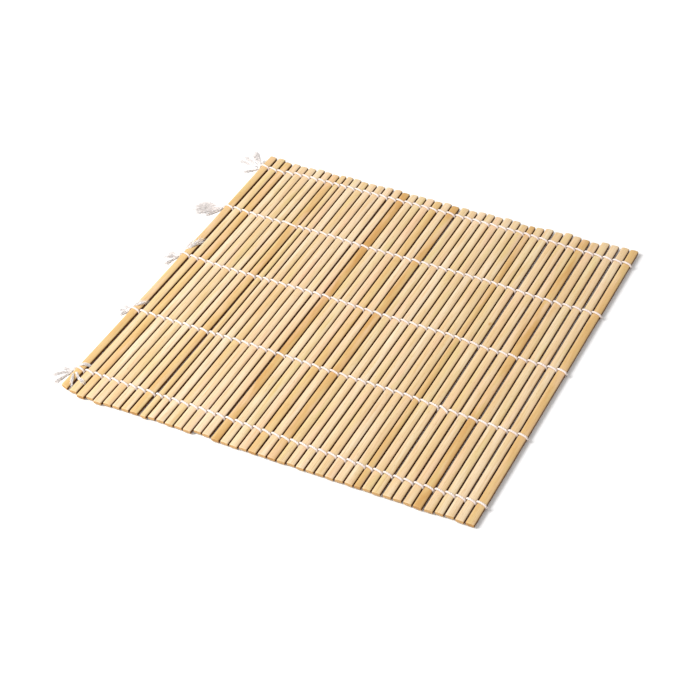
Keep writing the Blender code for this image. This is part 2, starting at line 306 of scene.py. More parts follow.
swept = add(
    sticks_tree,
    "GeometryNodeCurveToMesh",
    {"Curve": marked, "Profile Curve": section, "Fill Caps": True},
)

# %% [markdown]
# The sweep alone would scale thickness along with width. So the tree puts every point in place
# itself, from the guide's middle and the section's two numbers. `ease` shrinks the last rings
# towards the section's heart, which breaks the sawn edge. `slant` tilts the saw cut, and `skew`
# makes one shoulder a little higher, so that neighbours catch the light differently. The steep
# sides are marked for painted shade: they are painted dark brown in place of the shade that falls into the narrow
# gaps between sticks. A number on each guide line says how much of it the left side gets; the right side always
# gets all of it.

# %% Put the swept points in place
FLANK_STARTS = 0.94
FLANK_FULL = 0.985

middle = add(
    sticks_tree,
    "ShaderNodeSeparateXYZ",
    {0: add(sticks_tree, "GeometryNodeInputNamedAttribute", {"Name": "middle"}, data_type="FLOAT_VECTOR")},
)
shape = add(
    sticks_tree,
    "ShaderNodeSeparateXYZ",
    {0: add(sticks_tree, "GeometryNodeInputNamedAttribute", {"Name": "section"}, data_type="FLOAT_VECTOR")},
)
width = add(sticks_tree, "GeometryNodeInputNamedAttribute", {"Name": "width"}, data_type="FLOAT")
ease = add(sticks_tree, "GeometryNodeInputNamedAttribute", {"Name": "ease"}, data_type="FLOAT")
slant = add(sticks_tree, "GeometryNodeInputNamedAttribute", {"Name": "slant"}, data_type="FLOAT")
skew = add(sticks_tree, "GeometryNodeInputNamedAttribute", {"Name": "skew"}, data_type="FLOAT")
half = add(sticks_tree, "ShaderNodeMath", {0: width, 1: 0.5}, operation="MULTIPLY")
reach_x = add(sticks_tree, "ShaderNodeMath", {0: half, 1: shape.outputs["X"]}, operation="MULTIPLY")
across = add(sticks_tree, "ShaderNodeMath", {0: reach_x, 1: ease}, operation="MULTIPLY")
x = add(sticks_tree, "ShaderNodeMath", {0: middle.outputs["X"], 1: across}, operation="ADD")
y = add(
    sticks_tree,
    "ShaderNodeMath",
    {0: across, 1: slant, 2: middle.outputs["Y"]},
    operation="MULTIPLY_ADD",
)
lift = add(
    sticks_tree, "ShaderNodeMath", {0: shape.outputs["X"], 1: skew, 2: 1.0}, operation="MULTIPLY_ADD"
)
height = add(sticks_tree, "ShaderNodeMath", {0: shape.outputs["Y"], 1: lift}, operation="MULTIPLY")
heart = add(sticks_tree, "ShaderNodeMath", {0: size["Thickness"], 1: 0.45}, operation="MULTIPLY")
from_heart = add(sticks_tree, "ShaderNodeMath", {0: height, 1: heart}, operation="SUBTRACT")
eased = add(sticks_tree, "ShaderNodeMath", {0: from_heart, 1: ease, 2: heart}, operation="MULTIPLY_ADD")
z = add(sticks_tree, "ShaderNodeMath", {0: middle.outputs["Z"], 1: eased}, operation="ADD")
placed = add(
    sticks_tree,
    "GeometryNodeSetPosition",
    {"Geometry": swept, "Position": add(sticks_tree, "ShaderNodeCombineXYZ", {"X": x, "Y": y, "Z": z})},
)
# Painted shade: the steep sides are marked to be painted dark brown, in place of the shade in the narrow gaps
# between sticks. The right side is always marked fully, the left side as much as its guide line says.
off_middle = add(sticks_tree, "ShaderNodeMath", {0: shape.outputs["X"]}, operation="ABSOLUTE")
on_flank = add(
    sticks_tree,
    "ShaderNodeMapRange",
    {"Value": off_middle, "From Min": FLANK_STARTS, "From Max": FLANK_FULL, "To Max": 1.0},
)
is_right = add(sticks_tree, "ShaderNodeMath", {0: shape.outputs["X"], 1: 0.0}, operation="GREATER_THAN")
left_shade = add(sticks_tree, "GeometryNodeInputNamedAttribute", {"Name": "left_shade"}, data_type="FLOAT")
side_shade = add(sticks_tree, "ShaderNodeMath", {0: left_shade, 1: is_right}, operation="MAXIMUM")
flanked = add(
    sticks_tree,
    "GeometryNodeStoreNamedAttribute",
    {
        "Geometry": placed,
        "Name": "gap_shade",
        "Value": add(sticks_tree, "ShaderNodeMath", {0: on_flank, 1: side_shade}, operation="MULTIPLY"),
    },
    data_type="FLOAT",
)
facing = add(sticks_tree, "ShaderNodeSeparateXYZ", {0: add(sticks_tree, "GeometryNodeInputNormal")})
endwise = add(sticks_tree, "ShaderNodeMath", {0: facing.outputs["Y"]}, operation="ABSOLUTE")
is_end = add(sticks_tree, "ShaderNodeMath", {0: endwise, 1: 0.8}, operation="GREATER_THAN")
sawn = add(
    sticks_tree,
    "GeometryNodeStoreNamedAttribute",
    {"Geometry": flanked, "Name": "sawn", "Value": is_end},
    data_type="FLOAT",
    domain="FACE",
)
smooth = add(sticks_tree, "GeometryNodeSetShadeSmooth", {"Geometry": sawn, "Shade Smooth": True})
edge = add(sticks_tree, "GeometryNodeInputMeshEdgeAngle")
sharp = add(
    sticks_tree,
    "FunctionNodeCompare",
    {0: edge.outputs["Unsigned Angle"], 1: size["Sharp Angle"]},
    data_type="FLOAT",
    operation="GREATER_THAN",
)
creased = add(
    sticks_tree,
    "GeometryNodeSetShadeSmooth",
    {"Geometry": smooth, "Selection": sharp, "Shade Smooth": False},
    domain="EDGE",
)
real = add(sticks_tree, "GeometryNodeRealizeInstances", {"Geometry": creased})
dressed = add(sticks_tree, "GeometryNodeSetMaterial", {"Geometry": real, "Material": size["Material"]})
add(sticks_tree, "NodeGroupOutput", {0: dressed})
print("the stick tree has", len(sticks_tree.nodes), "nodes")

# %% [markdown]
# ## Bamboo as a material
#
# Real bamboo, planed and sanded: pale straw with fine strands along the stick. Each strand is a
# bundle of vessels, a third of a millimetre wide and a few centimetres long, a little darker than
# the pith between. The colour drifts along a stick and differs from stick to stick, from cream
# through straw to a golden tan. There is no varnish, so the shine is soft and broken by the grain.
# A sawn end shows the bundles as dots and drinks up dust and oil, so it is darker.
#
# The grain is noise that is drawn out along Y: its scale across comes from the bundles' width in
# millimetres, and the one along from their length. It reads Object coordinates, and since every
# stick lies elsewhere, each one gets its own grain. The stick's tone comes from its guide line.


# %% The bamboo materials
PER_MM = 1 / MM
BUNDLE_WIDE = 0.34
BUNDLE_LONG = 26.0
FLECK_WIDE = 0.22
FLECK_LONG = 2.6
DRIFT_WIDE = 4.5
DRIFT_LONG = 34.0
DOT_SIZE = 0.3

Spot = namedtuple("Spot", "x y radius")
SPOT = Spot(76.9, 23.6, 1.15)


def planed_bamboo(name, pale, straw, golden, sawn_end):
    material = bpy.data.materials.new(name)
    material.use_nodes = True
    tree = material.node_tree
    tree.nodes.clear()
    at = add(tree, "ShaderNodeTexCoord").outputs["Object"]

    # One noise with three channels drifts the ripeness, the pink and the green, each its own way.
    across, along = PER_MM / DRIFT_WIDE, PER_MM / DRIFT_LONG
    drift_at = add(
        tree, "ShaderNodeVectorMath", {0: at, 1: (across, along, across)}, operation="MULTIPLY"
    )
    drift = add(tree, "ShaderNodeTexNoise", {"Vector": drift_at, "Scale": 1.0, "Detail": 2.0})
    drifts = add(tree, "ShaderNodeSeparateXYZ", {0: drift.outputs["Color"]}).outputs
    tone = add(tree, "ShaderNodeAttribute", attribute_name="tone").outputs["Fac"]
    drifting = add(tree, "ShaderNodeMath", {0: drifts["X"], 1: 1.5, 2: -0.75}, operation="MULTIPLY_ADD")
    ripeness = add(tree, "ShaderNodeMath", {0: tone, 1: drifting}, operation="ADD")
    ramp = add(tree, "ShaderNodeValToRGB", {"Fac": ripeness})
    ramp.color_ramp.elements[0].position = 0.0
    ramp.color_ramp.elements[0].color = linear(pale)
    ramp.color_ramp.elements[1].position = 1.0
    ramp.color_ramp.elements[1].color = linear(golden)
    ramp.color_ramp.elements.new(0.45).color = linear(straw)

    # Fresh bamboo keeps a trace of green, and old pith turns pinkish.
    patches = []
    for label, channel in (("green", "Y"), ("pink", "Z")):
        own = add(tree, "ShaderNodeAttribute", attribute_name=label).outputs["Fac"]
        patch = add(
            tree,
            "ShaderNodeMapRange",
            {"Value": drifts[channel], "From Min": 0.5, "From Max": 0.72, "To Max": 0.7},
        )
        patches.append(add(tree, "ShaderNodeMath", {0: own, 1: patch}, operation="ADD", use_clamp=True))
    greenish = add(
        tree,
        "ShaderNodeMix",
        {"Factor": patches[0], "A": ramp.outputs["Color"], "B": linear("#cdb881")},
        data_type="RGBA",
    )
    pinkish = add(
        tree,
        "ShaderNodeMix",
        {"Factor": patches[1], "A": greenish, "B": linear("#dbba9a")},
        data_type="RGBA",
    )

    across, along = PER_MM / BUNDLE_WIDE, PER_MM / BUNDLE_LONG
    grain_at = add(
        tree, "ShaderNodeVectorMath", {0: at, 1: (across, along, across)}, operation="MULTIPLY"
    )
    grain = add(
        tree, "ShaderNodeTexNoise", {"Vector": grain_at, "Scale": 1.0, "Detail": 3.0, "Roughness": 0.6}
    )
    grain_dark = add(
        tree,
        "ShaderNodeMapRange",
        {"Value": grain.outputs["Fac"], "From Min": 0.43, "From Max": 0.72, "To Max": 0.62},
    )
    strands = add(
        tree,
        "ShaderNodeMix",
        {"Factor": grain_dark, "A": pinkish, "B": linear("#bb935c")},
        data_type="RGBA",
    )
    across, along = PER_MM / FLECK_WIDE, PER_MM / FLECK_LONG
    fleck_at = add(
        tree, "ShaderNodeVectorMath", {0: at, 1: (across, along, across)}, operation="MULTIPLY"
    )
    flecks = add(tree, "ShaderNodeTexNoise", {"Vector": fleck_at, "Scale": 1.0, "Detail": 1.0})
    fleck_dark = add(
        tree,
        "ShaderNodeMapRange",
        {"Value": flecks.outputs["Fac"], "From Min": 0.64, "From Max": 0.74, "To Max": 0.45},
    )
    flecked = add(
        tree,
        "ShaderNodeMix",
        {"Factor": fleck_dark, "A": strands, "B": linear("#9c6f3a")},
        data_type="RGBA",
    )

    # One small brown spot, where the cane was bruised
    from_spot = add(
        tree,
        "ShaderNodeVectorMath",
        {0: at, 1: (SPOT.x * MM, SPOT.y * MM, 0.0028)},
        operation="SUBTRACT",
    )
    longish = add(
        tree,
        "ShaderNodeVectorMath",
        {0: from_spot, 1: (PER_MM, PER_MM / 1.7, PER_MM)},
        operation="MULTIPLY",
    )
    away = add(tree, "ShaderNodeVectorMath", {0: longish}, operation="LENGTH").outputs["Value"]
    bruise = add(
        tree,
        "ShaderNodeMapRange",
        {"Value": away, "From Min": SPOT.radius * 0.4, "From Max": SPOT.radius, "To Min": 0.7, "To Max": 0.0},
    )
    bruised = add(
        tree,
        "ShaderNodeMix",
        {"Factor": bruise, "A": flecked, "B": linear("#b08548")},
        data_type="RGBA",
    )

    # Painted shade: the steep sides, where the narrow gaps between sticks lie in shade, are painted dark brown
    gap_shade = add(tree, "ShaderNodeAttribute", attribute_name="gap_shade").outputs["Fac"]
    gap_shaded = add(
        tree, "ShaderNodeMix", {"Factor": gap_shade, "A": bruised, "B": linear("#683c08")}, data_type="RGBA"
    )

    # The sawn ends: bundles as dots in darker, dusty pith
    sawn = add(tree, "ShaderNodeAttribute", attribute_name="sawn").outputs["Fac"]
    dots = add(tree, "ShaderNodeTexVoronoi", {"Vector": at, "Scale": PER_MM / DOT_SIZE}, feature="F1")
    dotted = add(
        tree,
        "ShaderNodeMapRange",
        {"Value": dots.outputs["Distance"], "From Min": 0.15, "From Max": 0.45, "To Min": 0.55, "To Max": 0.0},
    )
    end = add(
        tree,
        "ShaderNodeMix",
        {"Factor": dotted, "A": linear(sawn_end), "B": linear("#8a5a26")},
        data_type="RGBA",
    )
    colour = add(tree, "ShaderNodeMix", {"Factor": sawn, "A": gap_shaded, "B": end}, data_type="RGBA")

    gloss = add(
        tree,
        "ShaderNodeMapRange",
        {"Value": grain.outputs["Fac"], "From Min": 0.3, "From Max": 0.7, "To Min": 0.42, "To Max": 0.6},
    )
    roughness = add(tree, "ShaderNodeMix", {"Factor": sawn, "A": gloss, "B": 0.85}, data_type="FLOAT")
    relief = add(
        tree,
        "ShaderNodeMath",
        {0: fleck_dark, 1: -0.8, 2: grain.outputs["Fac"]},
        operation="MULTIPLY_ADD",
    )
    bump = add(tree, "ShaderNodeBump", {"Height": relief, "Strength": 0.35, "Distance": 0.05 * MM})
    shader = add(
        tree,
        "ShaderNodeBsdfPrincipled",
        {"Base Color": colour, "Roughness": roughness, "Normal": bump, "IOR": 1.5, "Specular IOR Level": 0.15},
    )
    add(tree, "ShaderNodeOutputMaterial", {"Surface": shader})
    return material


straw_bamboo = planed_bamboo("planed_straw_bamboo", "#dccaad", "#d3b88f", "#c79f68", "#c49c68")
golden_bamboo = planed_bamboo("planed_golden_bamboo", "#d2b382", "#c8a36c", "#ba8b4e", "#b68a54")
print("bamboo materials:", straw_bamboo.name, golden_bamboo.name)

# %% [markdown]
# ## Laying the sticks
#
# Each guide line runs from the near to the far end of a CAD stick. Its points are close together at
# the ends, where the edge is broken, and 6 mm apart between. Tones of the sticks that stand out in the
# real mat are listed in a short table; the rest come from a fixed seed.

# %% Make the sticks
Tone = namedtuple("Tone", "stick tone green pink")
TONES = [
    Tone(1, 0.3, 0.1, 0.0),
    Tone(2, 0.4, 0.3, 0.1),
    Tone(3, 0.4, 0.0, 0.0),
    Tone(4, 0.12, 0.0, 0.0),
    Tone(9, 0.35, 0.0, 0.0),
    Tone(10, 0.45, 0.3, 0.0),
    Tone(12, 0.1, 0.0, 0.1),
    Tone(16, 0.12, 0.0, 0.2),
    Tone(18, 0.75, 0.0, 0.0),
    Tone(19, 0.15, 0.1, 0.1),
    Tone(20, 0.2, 0.3, 0.0),
    Tone(21, 0.05, 0.0, 0.6),
    Tone(22, 0.2, 0.1, 0.0),
    Tone(23, 0.1, 0.0, 0.2),
    Tone(24, 0.6, 0.0, 0.0),
    Tone(25, 0.35, 0.3, 0.0),
    Tone(27, 0.1, 0.0, 0.1),
    Tone(28, 0.2, 0.2, 0.1),
    Tone(33, 0.4, 0.0, 0.0),
    Tone(39, 0.6, 0.0, 0.0),
    Tone(44, 0.35, 0.0, 0.0),
]
EASE_RINGS = ((0.0, 0.82), (0.12, 0.92), (0.4, 1.0), (1.0, 1.0))
RING_STEP = 6 * MM
SKEW_MOST = 0.05
SLANT_MOST = 0.05
FIRST_CUT = -0.35
# How much painted shade the first stick's outer left side gets; that side faces the light.
OUTER_SIDE_SHADE = 0.1


def stick_guides(chosen, seed):
    chance = random.Random(seed)
    named = {tone.stick: tone for tone in TONES}
    lines = []
    labels = ("number", "width", "ease", "slant", "skew", "left_shade", "tone", "green", "pink")
    numbers = {label: [] for label in labels}
    for stick in chosen:
        plain = Tone(stick.number, chance.uniform(0.12, 0.5), chance.uniform(0, 0.2), chance.uniform(0, 0.35))
        tone = named.get(stick.number, plain)
        skew = chance.uniform(-SKEW_MOST, SKEW_MOST)
        near_cut = FIRST_CUT if stick.number == 1 else chance.uniform(-SLANT_MOST, SLANT_MOST)
        far_cut = chance.uniform(-SLANT_MOST, SLANT_MOST)
        # Painted shade on the left steep side: little on the first stick, whose outer side is lit, and full on all
        # others.
        left_shade = OUTER_SIDE_SHADE if stick.number == 1 else 1.0
        length = stick.far_y - stick.near_y
        inner = EASE_RINGS[-1][0] * MM
        steps = round((length - 2 * inner) / RING_STEP)
        rings = [(depth * MM, scale, near_cut) for depth, scale in EASE_RINGS]
        rings += [(inner + (length - 2 * inner) * k / steps, 1.0, 0.0) for k in range(1, steps)]
        rings += [(length - depth * MM, scale, far_cut) for depth, scale in reversed(EASE_RINGS)]
        line = []
        for place, scale, cut in rings:
            y = stick.near_y + place
            line.append((stick_x(stick, y), y, stick.under))
            values = (stick.number, stick.width, scale, cut, skew, left_shade, tone.tone, tone.green, tone.pink)
            for label, value in zip(numbers, values):
                numbers[label].append(value)
        lines.append(line)
    return guide_mesh("stick_guides", lines, numbers)


def make_sticks(name, slot, material, seed):
    chosen = [stick for stick in sticks if stick_slot[f"stick_{stick.number:02d}"] == slot]
    piece = make_piece(name, stick_guides(chosen, seed), sticks_tree, material)
    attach(piece, "root")
    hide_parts(*[f"stick_{stick.number:02d}" for stick in chosen])
    return piece


make_sticks("straw_sticks", "bamboo", straw_bamboo, 11)
make_sticks("golden_sticks", "golden_bamboo", golden_bamboo, 12)

# %% [markdown]
# ## Where each string crosses the sticks
#
# The CAD strings know the way: over every stick, the string node has a small crown whose middle is
# the row's line. Those middles are read here, one for each stick and row.

# %% Read the rows
CROWN_ABOVE = 0.3 * MM
CROWN_NEAR = 0.9 * MM


def row_crossings(row):
    points = [v.co for v in frame["nodes"][f"string_{row}"].data.vertices]
    crowns = [p for p in points if p.z > sticks[0].under + STICK_THICK + CROWN_ABOVE]
    low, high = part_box(f"string_{row}")
    crossings = []
    for stick in sticks:
        x = stick_x(stick, (low.y + high.y) / 2)
        near = [p.y for p in crowns if abs(p.x - x) < CROWN_NEAR]
        crossings.append(sum(near) / len(near))
    return crossings


rows = {row: row_crossings(row) for row in range(1, ROW_COUNT + 1)}
for row, crossings in rows.items():
    print(f"row {row} runs from y = {crossings[0] / MM:.1f} to {crossings[-1] / MM:.1f} mm")

# %% [markdown]
# ## Plied cotton string
#
# The string is three cotton plies, laid together with a turn every 3.6 mm, a little over a
# millimetre thick and soft, so that it presses flat on the wood. A smooth tube with a bump map would look the same
# from far away, but it would be a tube in the library. So the tree sweeps a three-lobed section
# along the path and turns it as it goes, which gives each ply its own round surface and the dark
# creases between them.

# %% The tree that lays the plies
string_tree, size = new_tree(
    "plied_string",
    {
        "Radius": 0.7 * MM,
        "Lobe Depth": 0.16,
        "Plies": 3,
        "Section Points": 12,
        "Lay": 3.6 * MM,
        "Step": 0.42 * MM,
        "Flatness": 0.84,
        "Spread": 1.06,
    },
)
line = add(string_tree, "GeometryNodeMeshToCurve", {"Mesh": size["Guides"]})
bendy = add(string_tree, "GeometryNodeCurveSplineType", {"Curve": line}, spline_type="CATMULL_ROM")
even = add(
    string_tree, "GeometryNodeResampleCurve", {"Curve": bendy, "Length": size["Step"]}, mode="LENGTH"
)
marked = add(
    string_tree,
    "GeometryNodeStoreNamedAttribute",
    {"Geometry": even, "Name": "middle", "Value": add(string_tree, "GeometryNodeInputPosition")},
    data_type="FLOAT_VECTOR",
)
run = add(string_tree, "GeometryNodeSplineParameter").outputs["Length"]
turns = add(string_tree, "ShaderNodeMath", {0: run, 1: size["Lay"]}, operation="DIVIDE")
tilt = add(string_tree, "ShaderNodeMath", {0: turns, 1: math.tau}, operation="MULTIPLY")
twisted = add(string_tree, "GeometryNodeSetCurveTilt", {"Curve": marked, "Tilt": tilt})
circle = add(
    string_tree,
    "GeometryNodeCurvePrimitiveCircle",
    {"Resolution": size["Section Points"], "Radius": size["Radius"]},
)
on_circle = add(
    string_tree, "ShaderNodeSeparateXYZ", {0: add(string_tree, "GeometryNodeInputPosition")}
)
angle = add(
    string_tree,
    "ShaderNodeMath",
    {0: on_circle.outputs["Y"], 1: on_circle.outputs["X"]},
    operation="ARCTAN2",
)
lobes = add(string_tree, "ShaderNodeMath", {0: angle, 1: size["Plies"]}, operation="MULTIPLY")
wave = add(string_tree, "ShaderNodeMath", {0: lobes}, operation="COSINE")
dip = add(string_tree, "ShaderNodeMath", {0: wave, 1: -0.5, 2: 0.5}, operation="MULTIPLY_ADD")
depth = add(string_tree, "ShaderNodeMath", {0: dip, 1: size["Lobe Depth"]}, operation="MULTIPLY")
pull = add(string_tree, "ShaderNodeMath", {0: 1.0, 1: depth}, operation="SUBTRACT")
lobed = add(
    string_tree,
    "ShaderNodeVectorMath",
    {0: add(string_tree, "GeometryNodeInputPosition"), "Scale": pull},
    operation="SCALE",
)
section = add(
    string_tree, "GeometryNodeSetPosition", {"Geometry": circle.outputs["Curve"], "Position": lobed}
)
swept = add(
    string_tree,
    "GeometryNodeCurveToMesh",
    {"Curve": twisted, "Profile Curve": section, "Fill Caps": True},
)
middle = add(
    string_tree, "GeometryNodeInputNamedAttribute", {"Name": "middle"}, data_type="FLOAT_VECTOR"
)
outwards = add(
    string_tree,
    "ShaderNodeVectorMath",
    {0: add(string_tree, "GeometryNodeInputPosition"), 1: middle},
    operation="SUBTRACT",
)
press = add(
    string_tree,
    "ShaderNodeCombineXYZ",
    {"X": size["Flatness"], "Y": size["Spread"], "Z": size["Flatness"]},
)
pressed = add(
    string_tree, "ShaderNodeVectorMath", {0: outwards, 1: press, 2: middle}, operation="MULTIPLY_ADD"
)
on_table = add(
    string_tree, "ShaderNodeVectorMath", {0: pressed, 1: (-1.0, -1.0, 0.0)}, operation="MAXIMUM"
)
placed = add(string_tree, "GeometryNodeSetPosition", {"Geometry": swept, "Position": on_table})
smooth = add(string_tree, "GeometryNodeSetShadeSmooth", {"Geometry": placed, "Shade Smooth": True})
real = add(string_tree, "GeometryNodeRealizeInstances", {"Geometry": smooth})
dressed = add(string_tree, "GeometryNodeSetMaterial", {"Geometry": real, "Material": size["Material"]})
add(string_tree, "NodeGroupOutput", {0: dressed})
print("the string tree has", len(string_tree.nodes), "nodes")

# %% [markdown]
# ## Cotton as a material
#
# Real spun cotton, bleached but not bright: a warm, slightly pinkish white. Its short fibres
# scatter light, so it has no gloss but a faint sheen at the rims. A fine noise, a tenth of a
# millimetre across, stands for the fibres: it dims and lifts the surface a little. Light passes
# through cotton too, so a little of it is scattered below the surface.


# %% The cotton material
FIBRE = 0.11
SOIL = 9.0


def spun_cotton(name, clean, soiled, glow):
    material = bpy.data.materials.new(name)
    material.use_nodes = True
    tree = material.node_tree
    tree.nodes.clear()
    at = add(tree, "ShaderNodeTexCoord").outputs["Object"]
    fibres = add(tree, "ShaderNodeTexNoise", {"Vector": at, "Scale": PER_MM / FIBRE, "Detail": 2.0})
    soil = add(tree, "ShaderNodeTexNoise", {"Vector": at, "Scale": PER_MM / SOIL, "Detail": 2.0})
    mixed = add(
        tree,
        "ShaderNodeMath",
        {0: fibres.outputs["Fac"], 1: 0.5, 2: soil.outputs["Fac"]},
        operation="MULTIPLY_ADD",
    )
    dim = add(tree, "ShaderNodeMapRange", {"Value": mixed, "From Min": 0.5, "From Max": 1.1})
    colour = add(
        tree,
        "ShaderNodeMix",
        {"Factor": dim, "A": linear(clean), "B": linear(soiled)},
        data_type="RGBA",
    )
    bump = add(
        tree,
        "ShaderNodeBump",
        {"Height": fibres.outputs["Fac"], "Strength": 0.5, "Distance": 0.06 * MM},
    )
    shader = add(
        tree,
        "ShaderNodeBsdfPrincipled",
        {
            "Base Color": colour,
            "Roughness": 0.9,
            "Normal": bump,
            "Specular IOR Level": 0.2,
            "Sheen Weight": 0.25,
            "Sheen Roughness": 0.5,
            "Subsurface Weight": glow,
            "Subsurface Radius": (1.0, 1.0, 1.0),
            "Subsurface Scale": 0.4 * MM,
        },
    )
    add(tree, "ShaderNodeOutputMaterial", {"Surface": shader})
    return material


cotton_string = spun_cotton("spun_cotton_string", "#e4d6cf", "#d5c5bd", 0.4)
cotton_fray = spun_cotton("frayed_cotton_fibres", "#fbf6f3", "#f3eae6", 0.3)

# %% [markdown]
# ## How the two strands twine
#
# A row has two strands. One goes over the first stick while the other goes under it, and in every
# gap they change places, side by side. Going right, the upper strand slants towards the near side
# and the lower one back, so they twist round each other. At the last stick the string turns round
# the stick's side and comes back as the second strand. In row 2 the strand slipped and runs over
# two sticks at once.
#
# The path over a stick follows its arch, half a string's thickness away. Then it drops through the
# gap, and lies on the table below the next stick.

# %% Work out the string paths
RIDE = 0.46 * MM
SIDE_BY_SIDE = 0.78 * MM
GAP_ABOVE = 2.0 * MM
GAP_BELOW = 0.62 * MM
TABLE = 0.45 * MM
UNDER_IN = 0.35 * MM
ARCH_TURNS = (162, 136, 108, 80, 52, 24)
JITTER = 0.1 * MM
KNOT_OUT = 1.2 * MM
KNOT_HIGH = 1.5 * MM
SLIPS = {(2, 9)}
STEEP = {(4, 36): 2.1, (2, 40): 1.5}


def over_arch(stick, y, degrees):
    """A point on the path over a stick: on its arch at this turn, and half a string away."""

    def arch(turn):
        rise = math.sin(turn) ** FULLNESS
        return Vector(
            (stick.width / 2 * math.cos(turn), CORNER + (STICK_THICK - CORNER) * rise)
        )

    turn = math.radians(degrees)
    tangent = arch(turn + 0.02) - arch(turn - 0.02)
    out = Vector((tangent.y, -tangent.x)).normalized()
    point = arch(turn) + out * RIDE
    return stick_x(stick, y) + point.x, stick.under + point.y


def gap_middle(index, y):
    """X of the middle of the gap after this stick, and just past the first and the last stick."""
    if index < 0:
        return stick_x(sticks[0], y) - sticks[0].width / 2 - RIDE
    if index == STICK_COUNT - 1:
        return stick_x(sticks[-1], y) + sticks[-1].width / 2 + RIDE
    left, right = sticks[index], sticks[index + 1]
    return (stick_x(left, y) + left.width / 2 + stick_x(right, y) - right.width / 2) / 2


def strand_path(row, over, chance):
    """One strand, from the first stick to the last."""
    points = []
    for index, stick in enumerate(sticks):
        y = rows[row][index] + chance.uniform(-JITTER, JITTER)
        left, right = gap_middle(index - 1, y), gap_middle(index, y)
        slipped_here = (row, stick.number) in SLIPS
        slips_next = (row, stick.number + 1) in SLIPS
        slant = SIDE_BY_SIDE * STEEP.get((row, stick.number), 1.0)
        span = (2.0 if slipped_here or slips_next else 1.0) * (right - left)
        start = left - (right - left if slipped_here else 0.0)

        def at(x, z, way):
            return (x, y + way * slant * (1 - 2 * (x - start) / span), z)

        if over:
            if not slipped_here:
                points.append(at(left, GAP_ABOVE, 1))
            turns = ARCH_TURNS[2:] if slipped_here else ARCH_TURNS[:-2] if slips_next else ARCH_TURNS
            for degrees in turns:
                x, z = over_arch(stick, y, degrees)
                points.append(at(x, z, 1))
            if not slips_next:
                points.append(at(right, GAP_ABOVE, 1))
        else:
            reach = stick.width / 2 + UNDER_IN
            if not slipped_here:
                points.append(at(left, GAP_BELOW, -1))
                points.append(at(stick_x(stick, y) - reach, TABLE, -1))
            points.append(at(stick_x(stick, y), TABLE, -1))
            if not slips_next:
                points.append(at(stick_x(stick, y) + reach, TABLE, -1))
                points.append(at(right, GAP_BELOW, -1))
        if not slips_next:
            over = not over
    return points


def knot_middle(row):
    y = rows[row][0]
    return Vector((stick_x(sticks[0], y) - sticks[0].width / 2 - KNOT_OUT, y, KNOT_HIGH))


def string_path(row):
    """From the knot along one strand, round the last stick, and back along the other."""
    chance = random.Random(100 + row)
    out = strand_path(row, True, chance)
    back = strand_path(row, False, chance)
    turn_y = (out[-1][1] + back[-1][1]) / 2
    side = gap_middle(STICK_COUNT - 1, turn_y)
    turn = [(side, turn_y, (GAP_ABOVE + GAP_BELOW) / 2)]
    knot = tuple(knot_middle(row))
    return [knot] + out + turn + back[::-1] + [knot]


for row in rows:
    guides = guide_mesh(f"string_guide_{row}", [string_path(row)], {})
    string = make_piece(f"twined_string_{row}", guides, string_tree, cotton_string)
    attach(string, "root")
    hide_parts(f"string_{row}")

# %% [markdown]
# ## Knots
#
# At the first stick the two strand ends are tied together. A knot is the same string on a tight
# path that passes through itself, so the string tree makes it too. The path is a small trefoil,
# pulled a little longer along the stick, with its heart beside the first stick.

# %% The knots' paths
KNOT_TURN = 0.72 * MM
KNOT_RISE = 0.42 * MM
KNOT_STRETCH = Vector((0.85, 1.15, 1.0))
KNOT_POINTS = 28


def knot_path(row):
    chance = random.Random(200 + row)
    roll = Matrix.Rotation(chance.uniform(0.0, math.tau), 3, "Z")
    tip = Matrix.Rotation(math.radians(chance.uniform(-25, 25)), 3, "Y")
    path = []
    for number in range(KNOT_POINTS):
        turn = math.tau * number / (KNOT_POINTS - 1)
        loop = Vector(
            (
                math.sin(turn) + 2 * math.sin(2 * turn),
                math.cos(turn) - 2 * math.cos(2 * turn),
                -math.sin(3 * turn),
            )
        )
        flat = Vector((loop.x * KNOT_TURN / 3, loop.y * KNOT_TURN / 3, loop.z * KNOT_RISE))
        path.append(tuple(knot_middle(row) + (tip @ (roll @ flat)) * KNOT_STRETCH))
    return path


# %% [markdown]
# ## Frayed ends
#
# Past the knot each strand end is cut off and has come undone. Its plies untwist and the fibres
# stand apart like a brush. A particle system could do it, but the library wants plain meshes, so a
# tree copies each guide line many times, spreads the copies towards the tip, gives each one its
# own wave, cuts them at different lengths and sweeps a fine three-sided thread along them.

# %% The tree that frays a lock
fray_tree, size = new_tree(
    "frayed_lock",
    {
        "Fibres": 70,
        "Root": 0.28 * MM,
        "Wave": 0.9 * MM,
        "Wave Length": 9 * MM,
        "Shortest": 0.74,
        "Fibre Radius": 0.085 * MM,
        "Points": 12,
        "Seed": 5,
    },
)
line = add(fray_tree, "GeometryNodeMeshToCurve", {"Mesh": size["Guides"]})
bendy = add(fray_tree, "GeometryNodeCurveSplineType", {"Curve": line}, spline_type="CATMULL_ROM")
even = add(
    fray_tree, "GeometryNodeResampleCurve", {"Curve": bendy, "Count": size["Points"]}, mode="COUNT"
)
many = add(
    fray_tree,
    "GeometryNodeDuplicateElements",
    {"Geometry": even, "Amount": size["Fibres"]},
    domain="SPLINE",
)
owner = add(fray_tree, "GeometryNodeCurveOfPoint").outputs["Curve Index"]
toss = add(
    fray_tree,
    "FunctionNodeRandomValue",
    {0: (-1.0, -1.0, -1.0), 1: (1.0, 1.0, 1.0), "ID": owner, "Seed": size["Seed"]},
    data_type="FLOAT_VECTOR",
).outputs[0]
part = add(fray_tree, "GeometryNodeSplineParameter").outputs["Factor"]
spread = add(fray_tree, "GeometryNodeInputNamedAttribute", {"Name": "spread"}, data_type="FLOAT")
opening = add(fray_tree, "ShaderNodeMath", {0: part, 1: 1.3}, operation="POWER")
